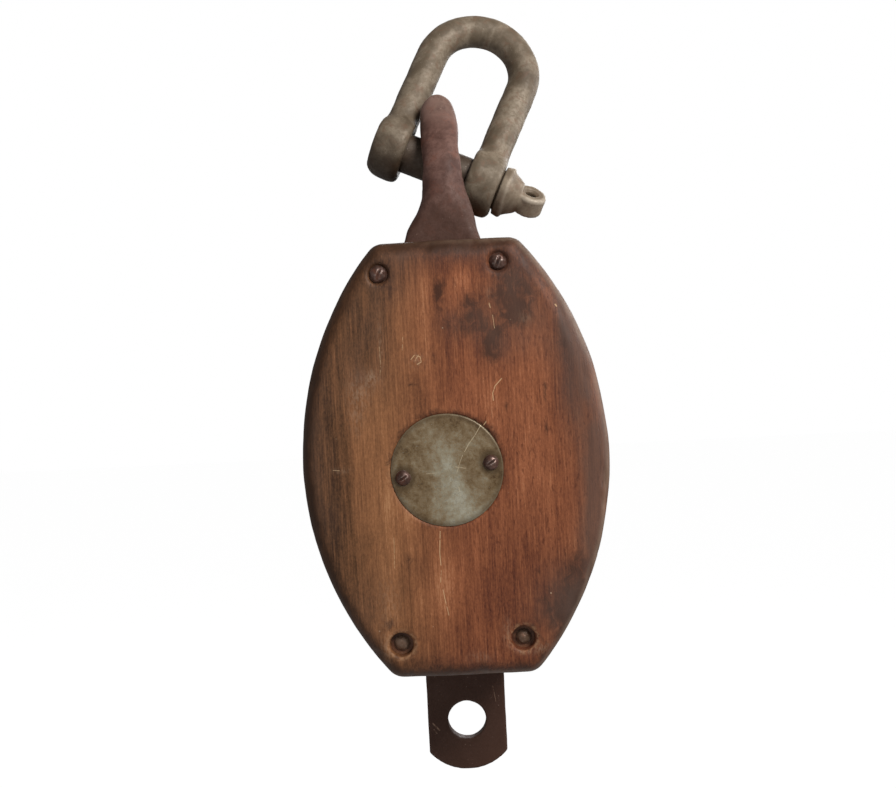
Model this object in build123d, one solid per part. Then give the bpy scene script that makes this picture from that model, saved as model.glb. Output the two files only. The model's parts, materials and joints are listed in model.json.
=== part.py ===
from build123d import *
from math import sqrt
import os

# Single-sheave wooden rigging block with an inside iron strap, a becket tang and a screw-pin shackle.
# Millimetres. +Z runs up the block to the shackle, +X to the right and -Y towards the front cheek.
# The origin is the middle of the sheave pin.

# Shell
SHELL_LENGTH = 203.0
SHELL_WIDTH = 143.0
SHELL_THICKNESS = 100.0
SHELL_MID_X = 1.8
SHELL_MID_Z = 4.5
SIDE_ARC_RADIUS = 153.0
OUTLINE_CORNER = 9.0
BORDER_ROUND = 9.0
SWALLOW = 38.0
HEAD_SPACER_BOTTOM = 84.0
TAIL_SPACER_TOP = -66.0

# Strap, one forging: two flat legs, a bail above the shell and a becket tang below it
STRAP_WIDTH = 40.0
STRAP_THICKNESS = 8.0
FRONT_LEG_END = -38.0
TANG_END = -160.5
TANG_END_RADIUS = 26.5
BECKET_HOLE_Z = -135.0
BECKET_HOLE_RADIUS = 9.7
BAIL_ARCH_Z = 136.0
SEAT_Z = 145.2
SEAT_RADIUS = 12.0
SEAT_RIM_ROUND = 12.0
BAIL_SECTION_COUNT = 16
LEG_CORNER = 2.0
# The bail's outside: half width across X, half depth across Y, height, and its middle in X
BAIL_TAPER = [
    (18.6, 27.0, 105.0, 0.0),
    (17.0, 27.0, 110.0, 0.4),
    (15.2, 27.2, 115.0, 1.2),
    (12.5, 27.5, 121.0, 1.8),
    (10.5, 27.6, 126.5, 1.8),
    (9.7, 27.2, 134.0, 1.7),
    (9.4, 25.6, 143.0, 1.6),
    (9.5, 20.6, 154.0, 1.4),
    (9.2, 14.8, 163.0, 1.0),
    (8.5, 10.2, 170.5, 0.6),
    (6.6, 6.8, 176.2, 0.4),
    (3.6, 3.7, 179.4, 0.4),
    (1.2, 1.2, 180.5, 0.4),
]

# Sheave and its pin
SHEAVE_DIAMETER = 120.0
SHEAVE_WIDTH = 35.0
ROPE_GROOVE_RADIUS = 13.0
ROPE_GROOVE_DEPTH = 10.0
HUB_RADIUS = 22.0
RIM_INNER_RADIUS = 41.0
WEB_THICKNESS = 15.0
WEB_HOLES = 5
WEB_HOLE_RADIUS = 6.0
PIN_DIAMETER = 19.0
BUSH_OUTER_DIAMETER = 27.0
BUSH_LENGTH = 36.4
RUNNING_CLEARANCE = 0.06
FIXED_CLEARANCE = 0.05

# Pin cover plates and their round-head screws
PLATE_DIAMETER = 52.0
PLATE_THICKNESS = 2.0
PLATE_PROUD = 0.4
FRONT_PLATE_SHIFT = -2.3
PLATE_SCREW_CIRCLE_RADIUS = 20.5
PLATE_SCREW_ANGLE = 7.5
PLATE_SCREW_HEAD_RADIUS = 3.7
PLATE_SCREW_HEAD_HEIGHT = 2.2
PLATE_SCREW_SHANK_RADIUS = 1.8
PLATE_SCREW_LENGTH = 16.0

# Shell rivets, two through the head spacer and two through the tail spacer, set by eye
HEAD_RIVETS = {"left": (-29.4, 91.2), "right": (25.6, 94.4)}
TAIL_RIVETS = {"left": (-27.2, -79.8), "right": (29.2, -79.3)}
RIVET_RADIUS = 3.2
RIVET_HEAD_RADIUS = 4.4
RIVET_HEAD_HEIGHT = 2.8
RIVET_TAIL_HEAD_RADIUS = 3.9
RIVET_TAIL_HEAD_HEIGHT = 2.0
HEAD_POCKET_RADIUS = 5.0
HEAD_POCKET_DEPTH = 2.6
TAIL_POCKET_RADIUS = 5.5
TAIL_POCKET_DEPTH = 6.5
ROVE_RADIUS = 5.2
ROVE_THICKNESS = 1.2

# Shackle, drawn upright about its own pin and then laid over to its rest position
SHACKLE_BODY_DIAMETER = 15.8
SHACKLE_INSIDE_WIDTH = 32.4
SHACKLE_TOTAL = 90.2
SHACKLE_PIN_DIAMETER = 19.0
EAR_DIAMETER = 31.6
PLAIN_EAR_THICKNESS = 17.4
PLAIN_EAR_ROUND = 8.0
TAPPED_EAR_THICKNESS = 16.0
TAPPED_EAR_ROUND = 3.0
EAR_INSIDE_ROUND = 1.2
COLLAR_RADIUS = 12.2
COLLAR_THICKNESS = 4.0
COLLAR_GAP = 0.7
NECK_RADIUS = 6.8
NECK_LENGTH = 6.4
TAB_RADIUS = 6.9
TAB_REACH = 5.0
TAB_THICKNESS = 8.4
TAB_HOLE_RADIUS = 2.8
TAB_TURN = -34.0
SHACKLE_TILT = 24.4
SHACKLE_LEAN = 23.0
SHACKLE_SIDE_PLAY = -1.2

HALF_SHELL = SHELL_THICKNESS / 2
HALF_SWALLOW = SWALLOW / 2
SHELL_TOP = SHELL_MID_Z + SHELL_LENGTH / 2
SHELL_BOTTOM = SHELL_MID_Z - SHELL_LENGTH / 2


def facing_front(y):
    """Plane parallel to XZ at depth y: local x is X, local y is Z, and extrusion runs towards -Y."""
    return Plane(origin=(0, y, 0), x_dir=(1, 0, 0), z_dir=(0, -1, 0))


def y_cylinder(x, z, radius, y_low, y_high):
    """Cylinder along Y between two depths."""
    return extrude(facing_front(y_high) * Pos(x, z) * Circle(radius), y_high - y_low)


def block(x_low, x_high, y_low, y_high, z_low, z_high):
    """Box between two corners."""
    size = (x_high - x_low, y_high - y_low, z_high - z_low)
    centre = ((x_low + x_high) / 2, (y_low + y_high) / 2, (z_low + z_high) / 2)
    return Pos(*centre) * Box(*size)


def shell_outline():
    """Barrel outline of a cheek: two shallow arcs cut off square at the head and the tail."""
    half = SHELL_WIDTH / 2
    end_half = half - SIDE_ARC_RADIUS + sqrt(SIDE_ARC_RADIUS**2 - (SHELL_LENGTH / 2) ** 2)
    right = ThreePointArc((end_half, SHELL_BOTTOM), (half, SHELL_MID_Z), (end_half, SHELL_TOP))
    top = Line((end_half, SHELL_TOP), (-end_half, SHELL_TOP))
    left = ThreePointArc((-end_half, SHELL_TOP), (-half, SHELL_MID_Z), (-end_half, SHELL_BOTTOM))
    bottom = Line((-end_half, SHELL_BOTTOM), (end_half, SHELL_BOTTOM))
    outline = make_face([right, top, left, bottom])
    return Pos(SHELL_MID_X, 0) * fillet(outline.vertices(), OUTLINE_CORNER)


def rivet_places():
    """Name, X, Z and front-headed flag of each shell rivet."""
    head = [(f"head_rivet_{side}", x, z, True) for side, (x, z) in HEAD_RIVETS.items()]
    tail = [(f"tail_rivet_{side}", x, z, False) for side, (x, z) in TAIL_RIVETS.items()]
    return head + tail


def plate_screw_places(plate_x):
    """Side name, X and Z of a cover plate's two screws."""
    row = PolarLocations(PLATE_SCREW_CIRCLE_RADIUS, 2, PLATE_SCREW_ANGLE)
    right, left = [place.position for place in row]
    return [("left", plate_x + left.X, left.Y), ("right", plate_x + right.X, right.Y)]


def cheek(front):
    """One wooden cheek. Built as the front one; the rear one is its mirror image in other details."""
    solid = extrude(facing_front(-HALF_SWALLOW) * shell_outline(), HALF_SHELL - HALF_SWALLOW)
    outer_edges = solid.faces().sort_by(Axis.Y)[0].edges()
    solid = fillet(outer_edges, BORDER_ROUND)
    leg_end = FRONT_LEG_END if front else SHELL_BOTTOM - 1
    half_strap = STRAP_WIDTH / 2 + FIXED_CLEARANCE
    groove_floor = -HALF_SWALLOW - STRAP_THICKNESS - FIXED_CLEARANCE
    solid -= block(-half_strap, half_strap, groove_floor, -HALF_SWALLOW + 1, leg_end, SHELL_TOP + 1)
    solid -= y_cylinder(0, 0, PIN_DIAMETER / 2 + FIXED_CLEARANCE, -HALF_SHELL - 1, -HALF_SWALLOW + 1)
    plate_x = FRONT_PLATE_SHIFT if front else 0.0
    recess_floor = -HALF_SHELL + PLATE_THICKNESS - PLATE_PROUD
    solid -= y_cylinder(plate_x, 0, PLATE_DIAMETER / 2 + 0.2, -HALF_SHELL - 1, recess_floor)
    for _, x, z in plate_screw_places(plate_x):
        tip = recess_floor + PLATE_SCREW_LENGTH
        solid -= y_cylinder(x, z, PLATE_SCREW_SHANK_RADIUS + FIXED_CLEARANCE, recess_floor - 1, tip)
    for _, x, z, front_headed in rivet_places():
        solid -= y_cylinder(x, z, RIVET_RADIUS + FIXED_CLEARANCE, -HALF_SHELL - 1, -HALF_SWALLOW + 1)
        has_head = front_headed == front
        radius = HEAD_POCKET_RADIUS if has_head else TAIL_POCKET_RADIUS
        depth = HEAD_POCKET_DEPTH if has_head else TAIL_POCKET_DEPTH
        solid -= y_cylinder(x, z, radius, -HALF_SHELL - 1, -HALF_SHELL + depth)
    return solid if front else mirror(solid, about=Plane.XZ)


def spacer(z_low, z_high):
    """Wooden block between the cheeks, to the shell's own outline."""
    solid = extrude(facing_front(HALF_SWALLOW) * shell_outline(), SWALLOW)
    wide = SHELL_WIDTH
    solid &= block(-wide, wide, -wide, wide, z_low, z_high)
    for _, x, z, _ in rivet_places():
        solid -= y_cylinder(x, z, RIVET_RADIUS + FIXED_CLEARANCE, -HALF_SHELL, HALF_SHELL)
    return solid


def bail_measures(share):
    """Half width, half depth, height and middle of the bail at a share of the way up its taper."""
    sizes = Spline(*[(width, depth, height) for width, depth, height, _ in BAIL_TAPER])
    half_width, half_depth, height = sizes @ share
    middles = [(height_at, middle) for _, _, height_at, middle in BAIL_TAPER]
    for (low, start), (high, end) in zip(middles, middles[1:]):
        if low <= height <= high:
            middle = start + (end - start) * (height - low) / (high - low)
    return half_width, half_depth, height, middle


def bail_sections():
    """Cross-sections of the bail: flat bar corners at the shell, nearly round from the pin hole up."""
    sections = []
    for index in range(BAIL_SECTION_COUNT):
        half_width, half_depth, height, middle = bail_measures(index / (BAIL_SECTION_COUNT - 1))
        half_side = min(half_width, half_depth)
        roundness = min(1.0, (height - SHELL_TOP) / 26.0)
        corner = LEG_CORNER * (1 - roundness) + 0.88 * half_side * roundness
        corner = min(corner, 0.96 * half_side)
        outline = RectangleRounded(2 * half_width, 2 * half_depth, corner)
        sections.append(Pos(middle, 0, height) * outline)
    return sections


def strap():
    """Inside strap: the front leg stops below the sheave pin, the rear leg runs on as the becket tang."""
    inner = HALF_SWALLOW
    outer = HALF_SWALLOW + STRAP_THICKNESS
    half = STRAP_WIDTH / 2
    bail = loft(bail_sections())
    bail -= seat_cutter()
    opening_lines = [
        Line((-inner, 90), (-inner, BAIL_ARCH_Z)),
        ThreePointArc((-inner, BAIL_ARCH_Z), (0, BAIL_ARCH_Z + inner), (inner, BAIL_ARCH_Z)),
        Line((inner, BAIL_ARCH_Z), (inner, 90)),
        Line((inner, 90), (-inner, 90)),
    ]
    bail -= extrude(Plane.YZ * make_face(opening_lines), STRAP_WIDTH, both=True)
    front_leg = block(-half, half, -outer, -inner, FRONT_LEG_END + FIXED_CLEARANCE, SHELL_TOP)
    rear_leg = block(-half, half, inner, outer, TANG_END - 5, SHELL_TOP)
    end_disc = y_cylinder(0, TANG_END + TANG_END_RADIUS, TANG_END_RADIUS, inner - 1, outer + 1)
    end_disc += block(-half - 1, half + 1, inner - 1, outer + 1, TANG_END + TANG_END_RADIUS, SHELL_TOP + 1)
    rear_leg &= end_disc
    solid = bail + front_leg + rear_leg
    solid -= y_cylinder(0, 0, PIN_DIAMETER / 2 + FIXED_CLEARANCE, -outer - 1, outer + 1)
    solid -= y_cylinder(0, BECKET_HOLE_Z, BECKET_HOLE_RADIUS, inner - 1, outer + 1)
    return solid


def seat_cutter():
    """Hourglass along X: the pin's seat under the bail's crown, flared so that the pin can rock."""
    reach = 11.0
    rise = SEAT_RIM_ROUND - sqrt(SEAT_RIM_ROUND**2 - reach**2)
    mouth = SEAT_RADIUS + rise
    profile = [
        Line((-reach, 0), (reach, 0)),
        Line((reach, 0), (reach, mouth)),
        ThreePointArc((reach, mouth), (0, SEAT_RADIUS), (-reach, mouth)),
        Line((-reach, mouth), (-reach, 0)),
    ]
    cutter = revolve(Plane.XZ * make_face(profile), Axis.X)
    return Pos(0, 0, SEAT_Z) * cutter


def sheave():
    """Grooved iron sheave with a recessed web, bored for its bush."""
    radius = SHEAVE_DIAMETER / 2
    half = SHEAVE_WIDTH / 2
    bore = BUSH_OUTER_DIAMETER / 2
    groove_floor = radius - ROPE_GROOVE_DEPTH
    groove_half = sqrt(ROPE_GROOVE_RADIUS**2 - (ROPE_GROOVE_RADIUS - ROPE_GROOVE_DEPTH) ** 2)
    half_web = WEB_THICKNESS / 2
    profile = Polyline(
        (bore, -half), (HUB_RADIUS, -half), (HUB_RADIUS, -half_web), (RIM_INNER_RADIUS, -half_web),
        (RIM_INNER_RADIUS, -half), (radius, -half), (radius, -groove_half),
    )
    groove = ThreePointArc((radius, -groove_half), (groove_floor, 0), (radius, groove_half))
    back = Polyline(
        (radius, groove_half), (radius, half), (RIM_INNER_RADIUS, half), (RIM_INNER_RADIUS, half_web),
        (HUB_RADIUS, half_web), (HUB_RADIUS, half), (bore, half), (bore, -half),
    )
    solid = revolve(Plane.XY * make_face([profile, groove, back]), Axis.Y)
    web_radius = (HUB_RADIUS + RIM_INNER_RADIUS) / 2
    for place in PolarLocations(web_radius, WEB_HOLES):
        x, z = place.position.X, place.position.Y
        solid -= y_cylinder(x, z, WEB_HOLE_RADIUS, -half, half)
    return solid


def sheave_bush():
    """Bronze bush pressed into the sheave."""
    half = BUSH_LENGTH / 2
    tube = y_cylinder(0, 0, BUSH_OUTER_DIAMETER / 2, -half, half)
    return tube - y_cylinder(0, 0, PIN_DIAMETER / 2 + RUNNING_CLEARANCE, -half - 1, half + 1)


def sheave_pin():
    """Plain steel pin through both cheeks and both strap legs, shut in by the cover plates."""
    half = HALF_SHELL - PLATE_THICKNESS + PLATE_PROUD - 0.4
    solid = y_cylinder(0, 0, PIN_DIAMETER / 2, -half, half)
    return chamfer(solid.edges().filter_by(GeomType.CIRCLE), 1.2)


def cover_plate(front):
    """Thin round plate over the pin's end, sunk into the cheek."""
    outer = -HALF_SHELL - PLATE_PROUD
    plate_x = FRONT_PLATE_SHIFT if front else 0.0
    solid = y_cylinder(plate_x, 0, PLATE_DIAMETER / 2, outer, outer + PLATE_THICKNESS)
    front_edge = solid.edges().filter_by(GeomType.CIRCLE).sort_by(Axis.Y)[0]
    solid = fillet(front_edge, 0.6)
    for _, x, z in plate_screw_places(plate_x):
        solid -= y_cylinder(x, z, PLATE_SCREW_SHANK_RADIUS + 0.2, outer - 1, outer + PLATE_THICKNESS + 1)
    return solid if front else mirror(solid, about=Plane.XZ)


def dome(radius, height):
    """Shallow spherical cap standing on XY with its top towards +Z."""
    sphere_radius = (radius**2 + height**2) / (2 * height)
    ball = Pos(0, 0, height - sphere_radius) * Sphere(sphere_radius)
    return ball & (Pos(0, 0, height / 2) * Box(4 * radius, 4 * radius, height))


def plate_screw(x, z, front):
    """Round-head wood screw with a slotted head, through a cover plate into the cheek."""
    head = dome(PLATE_SCREW_HEAD_RADIUS, PLATE_SCREW_HEAD_HEIGHT)
    head -= Pos(0, 0, PLATE_SCREW_HEAD_HEIGHT) * Rot(0, 0, 30) * Box(9, 0.9, 1.6)
    straight = PLATE_SCREW_LENGTH * 0.55
    point = PLATE_SCREW_LENGTH * 0.45
    shank = Pos(0, 0, -straight / 2) * Cylinder(PLATE_SCREW_SHANK_RADIUS, straight)
    tip = Cone(0.3, PLATE_SCREW_SHANK_RADIUS, point)
    solid = head + shank + Pos(0, 0, -straight - point / 2) * tip
    outer = -HALF_SHELL - PLATE_PROUD
    solid = Plane(origin=(x, outer, z), x_dir=(1, 0, 0), z_dir=(0, -1, 0)) * solid
    return solid if front else mirror(solid, about=Plane.XZ)


def rivet(x, z, front_headed):
    """Shell rivet: slotted round head in a shallow pocket, far end clenched over a rove in a deep one."""
    head_seat = HALF_SHELL - HEAD_POCKET_DEPTH
    rove_seat = HALF_SHELL - TAIL_POCKET_DEPTH
    head = dome(RIVET_HEAD_RADIUS, RIVET_HEAD_HEIGHT)
    head -= Pos(0, 0, RIVET_HEAD_HEIGHT) * Rot(0, 0, 70) * Box(12, 1.1, 1.8)
    length = head_seat + rove_seat + ROVE_THICKNESS
    shank = Pos(0, 0, -length / 2) * Cylinder(RIVET_RADIUS, length)
    clench = Pos(0, 0, -length) * Rot(180, 0, 0) * dome(RIVET_TAIL_HEAD_RADIUS, RIVET_TAIL_HEAD_HEIGHT)
    solid = head + shank + clench
    solid = Plane(origin=(x, -head_seat, z), x_dir=(1, 0, 0), z_dir=(0, -1, 0)) * solid
    return solid if front_headed else mirror(solid, about=Plane.XZ)


def rove(x, z, front_headed):
    """Washer under a rivet's clenched end, at the bottom of the deep pocket."""
    seat = HALF_SHELL - TAIL_POCKET_DEPTH
    solid = y_cylinder(x, z, ROVE_RADIUS, seat, seat + ROVE_THICKNESS)
    solid -= y_cylinder(x, z, RIVET_RADIUS + FIXED_CLEARANCE, seat - 1, seat + ROVE_THICKNESS + 1)
    return solid if front_headed else mirror(solid, about=Plane.XZ)


def x_cylinder(radius, x_low, x_high):
    """Cylinder along X between two positions."""
    return Pos((x_low + x_high) / 2, 0, 0) * Rot(0, 90, 0) * Cylinder(radius, x_high - x_low)


def at_rest(solid):
    """Lay an upright shackle piece over to its rest position under the bail."""
    slid = Pos(SHACKLE_SIDE_PLAY, 0, 0) * solid
    return Pos(0, 0, SEAT_Z) * Rot(0, SHACKLE_TILT, 0) * Rot(-SHACKLE_LEAN, 0, 0) * slid


def shackle_bow():
    """Long D-shaped bow of round bar with a round ear on each leg."""
    body = SHACKLE_BODY_DIAMETER / 2
    leg_x = SHACKLE_INSIDE_WIDTH / 2 + body
    crown_z = SHACKLE_TOTAL - body - leg_x
    crown = Pos(0, 0, crown_z) * Rot(90, 0, 0) * Torus(leg_x, body)
    solid = crown & block(-SHACKLE_TOTAL, SHACKLE_TOTAL, -body, body, crown_z, SHACKLE_TOTAL)
    inside = SHACKLE_INSIDE_WIDTH / 2
    ears = ((-1, PLAIN_EAR_THICKNESS, PLAIN_EAR_ROUND), (1, TAPPED_EAR_THICKNESS, TAPPED_EAR_ROUND))
    for side, thickness, outside_round in ears:
        leg = Pos(side * leg_x, 0, crown_z / 2) * Cylinder(body, crown_z)
        x_low, x_high = sorted((side * inside, side * (inside + thickness)))
        ear = x_cylinder(EAR_DIAMETER / 2, x_low, x_high)
        rims = ear.edges().filter_by(GeomType.CIRCLE).sort_by(Axis.X)
        ear = fillet(rims[0] if side < 0 else rims[-1], outside_round)
        rims = ear.edges().filter_by(GeomType.CIRCLE).sort_by(Axis.X)
        ear = fillet(rims[-1] if side < 0 else rims[0], EAR_INSIDE_ROUND)
        solid += leg + ear
    reach = inside + PLAIN_EAR_THICKNESS + 1
    solid -= x_cylinder(SHACKLE_PIN_DIAMETER / 2 + FIXED_CLEARANCE, -reach, reach)
    return at_rest(solid)


def shackle_pin():
    """Screw pin: plain shank, collar, tapering neck and a flat round-ended tab with a hole in it."""
    ear_face = SHACKLE_INSIDE_WIDTH / 2 + TAPPED_EAR_THICKNESS
    plain_end = SHACKLE_INSIDE_WIDTH / 2 + PLAIN_EAR_THICKNESS - 1
    radius = SHACKLE_PIN_DIAMETER / 2
    collar_low = ear_face + COLLAR_GAP
    collar_high = collar_low + COLLAR_THICKNESS
    neck_high = collar_high + NECK_LENGTH
    tab_x = neck_high + TAB_REACH
    shank = x_cylinder(radius, -plain_end, collar_low)
    collar = x_cylinder(COLLAR_RADIUS, collar_low, collar_high)
    neck = Pos((collar_high + neck_high) / 2, 0, 0) * Rot(0, 90, 0) * Cone(
        COLLAR_RADIUS * 0.86, NECK_RADIUS, NECK_LENGTH
    )
    stem = x_cylinder(NECK_RADIUS, neck_high, tab_x)
    tab = Pos(tab_x, 0, 0) * Rot(90, 0, 0) * Cylinder(TAB_RADIUS, TAB_THICKNESS)
    stem &= Pos(tab_x, 0, 0) * Box(4 * TAB_RADIUS, TAB_THICKNESS, 4 * TAB_RADIUS)
    head = neck + stem + tab
    head -= Pos(tab_x, 0, 0) * Rot(90, 0, 0) * Cylinder(TAB_HOLE_RADIUS, 2 * TAB_THICKNESS)
    solid = shank + collar + Rot(TAB_TURN, 0, 0) * head
    return at_rest(solid)


def make_parts():
    """Every sub-part of the block, by node name."""
    parts = {
        "front_cheek": cheek(True),
        "rear_cheek": cheek(False),
        "head_spacer": spacer(HEAD_SPACER_BOTTOM, SHELL_TOP),
        "tail_spacer": spacer(SHELL_BOTTOM, TAIL_SPACER_TOP),
        "strap": strap(),
        "sheave": sheave(),
        "sheave_bush": sheave_bush(),
        "sheave_pin": sheave_pin(),
        "front_cover_plate": cover_plate(True),
        "rear_cover_plate": cover_plate(False),
        "shackle_bow": shackle_bow(),
        "shackle_pin": shackle_pin(),
    }
    for side, x, z in plate_screw_places(FRONT_PLATE_SHIFT):
        parts[f"front_plate_screw_{side}"] = plate_screw(x, z, True)
    for side, x, z in plate_screw_places(0.0):
        parts[f"rear_plate_screw_{side}"] = plate_screw(x, z, False)
    for name, x, z, front_headed in rivet_places():
        parts[name] = rivet(x, z, front_headed)
        parts[name.replace("rivet", "rove")] = rove(x, z, front_headed)
    return parts


os.makedirs("parts", exist_ok=True)
for node, solid in make_parts().items():
    export_step(solid, f"parts/{node}.step")
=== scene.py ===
import json
import math

import bpy
import numpy as np
from mathutils import Matrix, Vector


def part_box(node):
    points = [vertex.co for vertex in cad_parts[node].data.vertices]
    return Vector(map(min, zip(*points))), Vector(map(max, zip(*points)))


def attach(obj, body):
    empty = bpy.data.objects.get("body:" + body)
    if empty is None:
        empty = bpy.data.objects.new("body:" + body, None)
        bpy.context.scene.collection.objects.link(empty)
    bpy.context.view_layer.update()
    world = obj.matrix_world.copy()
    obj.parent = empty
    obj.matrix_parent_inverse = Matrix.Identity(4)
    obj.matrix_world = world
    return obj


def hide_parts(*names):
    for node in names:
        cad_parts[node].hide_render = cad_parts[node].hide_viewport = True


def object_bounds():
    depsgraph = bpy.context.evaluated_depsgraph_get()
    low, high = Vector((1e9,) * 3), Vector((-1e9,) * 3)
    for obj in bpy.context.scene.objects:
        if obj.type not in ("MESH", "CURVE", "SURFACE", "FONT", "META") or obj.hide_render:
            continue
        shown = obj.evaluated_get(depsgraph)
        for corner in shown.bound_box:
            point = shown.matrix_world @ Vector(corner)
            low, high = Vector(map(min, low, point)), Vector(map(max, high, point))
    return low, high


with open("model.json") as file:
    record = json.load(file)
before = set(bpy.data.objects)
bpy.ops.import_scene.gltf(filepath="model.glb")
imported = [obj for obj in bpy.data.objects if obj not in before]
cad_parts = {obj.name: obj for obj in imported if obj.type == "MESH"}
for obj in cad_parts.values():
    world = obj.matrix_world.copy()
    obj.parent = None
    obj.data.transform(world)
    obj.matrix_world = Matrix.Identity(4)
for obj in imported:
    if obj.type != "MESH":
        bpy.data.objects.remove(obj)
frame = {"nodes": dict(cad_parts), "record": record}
cad_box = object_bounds()
scene = bpy.context.scene
scene.view_settings.view_transform = "Standard"

MM = 0.001


# ---------------------------------------------------------------- camera, light and stage

def make_camera(place, yaw, pitch, roll, lens):
    """Camera at the photograph's viewing angle; angles in degrees, yaw 0 looks along +Y."""
    yaw, pitch, roll = (math.radians(a) for a in (yaw, pitch, roll))
    forward = Vector((math.sin(yaw) * math.cos(pitch), math.cos(yaw) * math.cos(pitch), math.sin(pitch)))
    level = Vector((math.cos(yaw), -math.sin(yaw), 0))
    above = level.cross(forward)
    right = level * math.cos(roll) + above * math.sin(roll)
    up = above * math.cos(roll) - level * math.sin(roll)
    data = bpy.data.cameras.new("camera")
    data.lens = lens
    data.sensor_width = 36
    camera = bpy.data.objects.new("camera", data)
    scene.collection.objects.link(camera)
    placed = Matrix((right, up, -forward)).transposed().to_4x4()
    placed.translation = Vector(place)
    camera.matrix_world = placed
    scene.camera = camera


def area_light(name, place, target, size, power, tint=(1, 1, 1)):
    data = bpy.data.lights.new(name, "AREA")
    data.shape = "DISK"
    data.size = size
    data.energy = power
    data.color = tint
    light = bpy.data.objects.new(name, data)
    light.location = place
    light.rotation_mode = "QUATERNION"
    light.rotation_quaternion = (Vector(target) - Vector(place)).to_track_quat("-Z", "Y")
    scene.collection.objects.link(light)


def make_world(seen, cast):
    """White studio: the camera sees `seen`, the object is lit by `cast`."""
    world = bpy.data.worlds.new("studio")
    scene.world = world
    world.use_nodes = True
    tree = world.node_tree
    tree.nodes.clear()
    path = tree.nodes.new("ShaderNodeLightPath")
    lit = tree.nodes.new("ShaderNodeBackground")
    lit.inputs[0].default_value = (1, 1, 1, 1)
    lit.inputs[1].default_value = cast
    white = tree.nodes.new("ShaderNodeBackground")
    white.inputs[0].default_value = (1, 1, 1, 1)
    white.inputs[1].default_value = seen
    both = tree.nodes.new("ShaderNodeMixShader")
    out = tree.nodes.new("ShaderNodeOutputWorld")
    tree.links.new(path.outputs["Is Camera Ray"], both.inputs[0])
    tree.links.new(lit.outputs[0], both.inputs[1])
    tree.links.new(white.outputs[0], both.inputs[2])
    tree.links.new(both.outputs[0], out.inputs[0])


FLOOR_GLOW = 0.78  # seen by the camera only, so that the floor lights nothing


def make_floor(drop):
    """Plain pale floor, far enough below the hanging block to catch no hard shadow."""
    mesh = bpy.data.meshes.new("floor")
    reach = 12
    corners = [(x * reach, y * reach, 0) for x, y in ((-1, -1), (1, -1), (1, 1), (-1, 1))]
    mesh.from_pydata(corners, [], [(0, 1, 2, 3)])
    floor = bpy.data.objects.new("floor", mesh)
    floor.location.z = cad_box[0].z - drop
    scene.collection.objects.link(floor)
    paint = bpy.data.materials.new("floor_paint")
    paint.use_nodes = True
    tree = paint.node_tree
    shader = tree.nodes["Principled BSDF"]
    shader.inputs["Base Color"].default_value = (0.8, 0.8, 0.8, 1)
    shader.inputs["Roughness"].default_value = 0.9
    shader.inputs["Emission Color"].default_value = (1, 1, 1, 1)
    path = tree.nodes.new("ShaderNodeLightPath")
    glow = tree.nodes.new("ShaderNodeMath")
    glow.operation = "MULTIPLY"
    glow.inputs[1].default_value = FLOOR_GLOW
    tree.links.new(path.outputs["Is Camera Ray"], glow.inputs[0])
    tree.links.new(glow.outputs[0], shader.inputs["Emission Strength"])
    floor.data.materials.append(paint)


make_camera((0.0126, -0.673, 0.0561), yaw=-1.17, pitch=-1.95, roll=-2.83, lens=54.72)
make_world(seen=1.0, cast=0.26)
make_floor(drop=0.75)
area_light("key", (0.62, -0.75, 0.72), (0, 0, 0.03), 0.45, 15.5, (1.0, 0.985, 0.96))
area_light("rim", (0.75, 0.25, 0.25), (0, 0, 0.03), 0.5, 3.5)
area_light("back", (0.25, 1.0, 0.45), (0, 0, 0.02), 0.8, 7.0, (0.98, 0.99, 1.0))
area_light("fill", (-0.7, -0.9, 0.1), (0, 0, 0.0), 0.9, 1.6, (0.96, 0.98, 1.0))


# ---------------------------------------------------------------- noise on points

def hashed(ix, iy, iz, seed):
    """One fixed value in -1..1 for each whole-numbered cell."""
    h = (ix * 374761393 + iy * 668265263 + iz * 1440662683 + seed * 1274126177) & 0xFFFFFFFF
    h = ((h ^ (h >> 13)) * 1103515245 + 12345) & 0xFFFFFFFF
    h = ((h ^ (h >> 15)) * 1540483477) & 0xFFFFFFFF
    return ((h >> 8) & 0xFFFF) / 32767.5 - 1


def bumps(points, wave, seed):
    """Smooth noise in -1..1 at points, with features about `wave` metres across; wave may be a triple."""
    p = points / np.array(wave, float)
    base = np.floor(p).astype(np.int64)
    part = p - base
    part = part * part * (3 - 2 * part)
    total = np.zeros(len(p))
    for corner in range(8):
        step = np.array([corner & 1, (corner >> 1) & 1, (corner >> 2) & 1])
        cell = base + step
        weight = np.prod(np.where(step == 1, part, 1 - part), axis=1)
        total += weight * hashed(cell[:, 0], cell[:, 1], cell[:, 2], seed)
    return total


def rough(points, wave, seed, octaves=3, fade=0.5):
    """Several layers of bumps, each half as wide as the one before and weaker by `fade`."""
    total = np.zeros(len(points))
    size = np.array(wave, float)
    strength = 1.0
    for octave in range(octaves):
        total += strength * bumps(points, size, seed + 17 * octave)
        size = size / 2
        strength *= fade
    return total


def smooth_step(low, high, x):
    """0 at low, 1 at high, smooth between; low may be the larger."""
    t = np.clip((x - low) / (high - low), 0, 1)
    return t * t * (3 - 2 * t)


# ---------------------------------------------------------------- sculpting the CAD shapes

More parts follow.
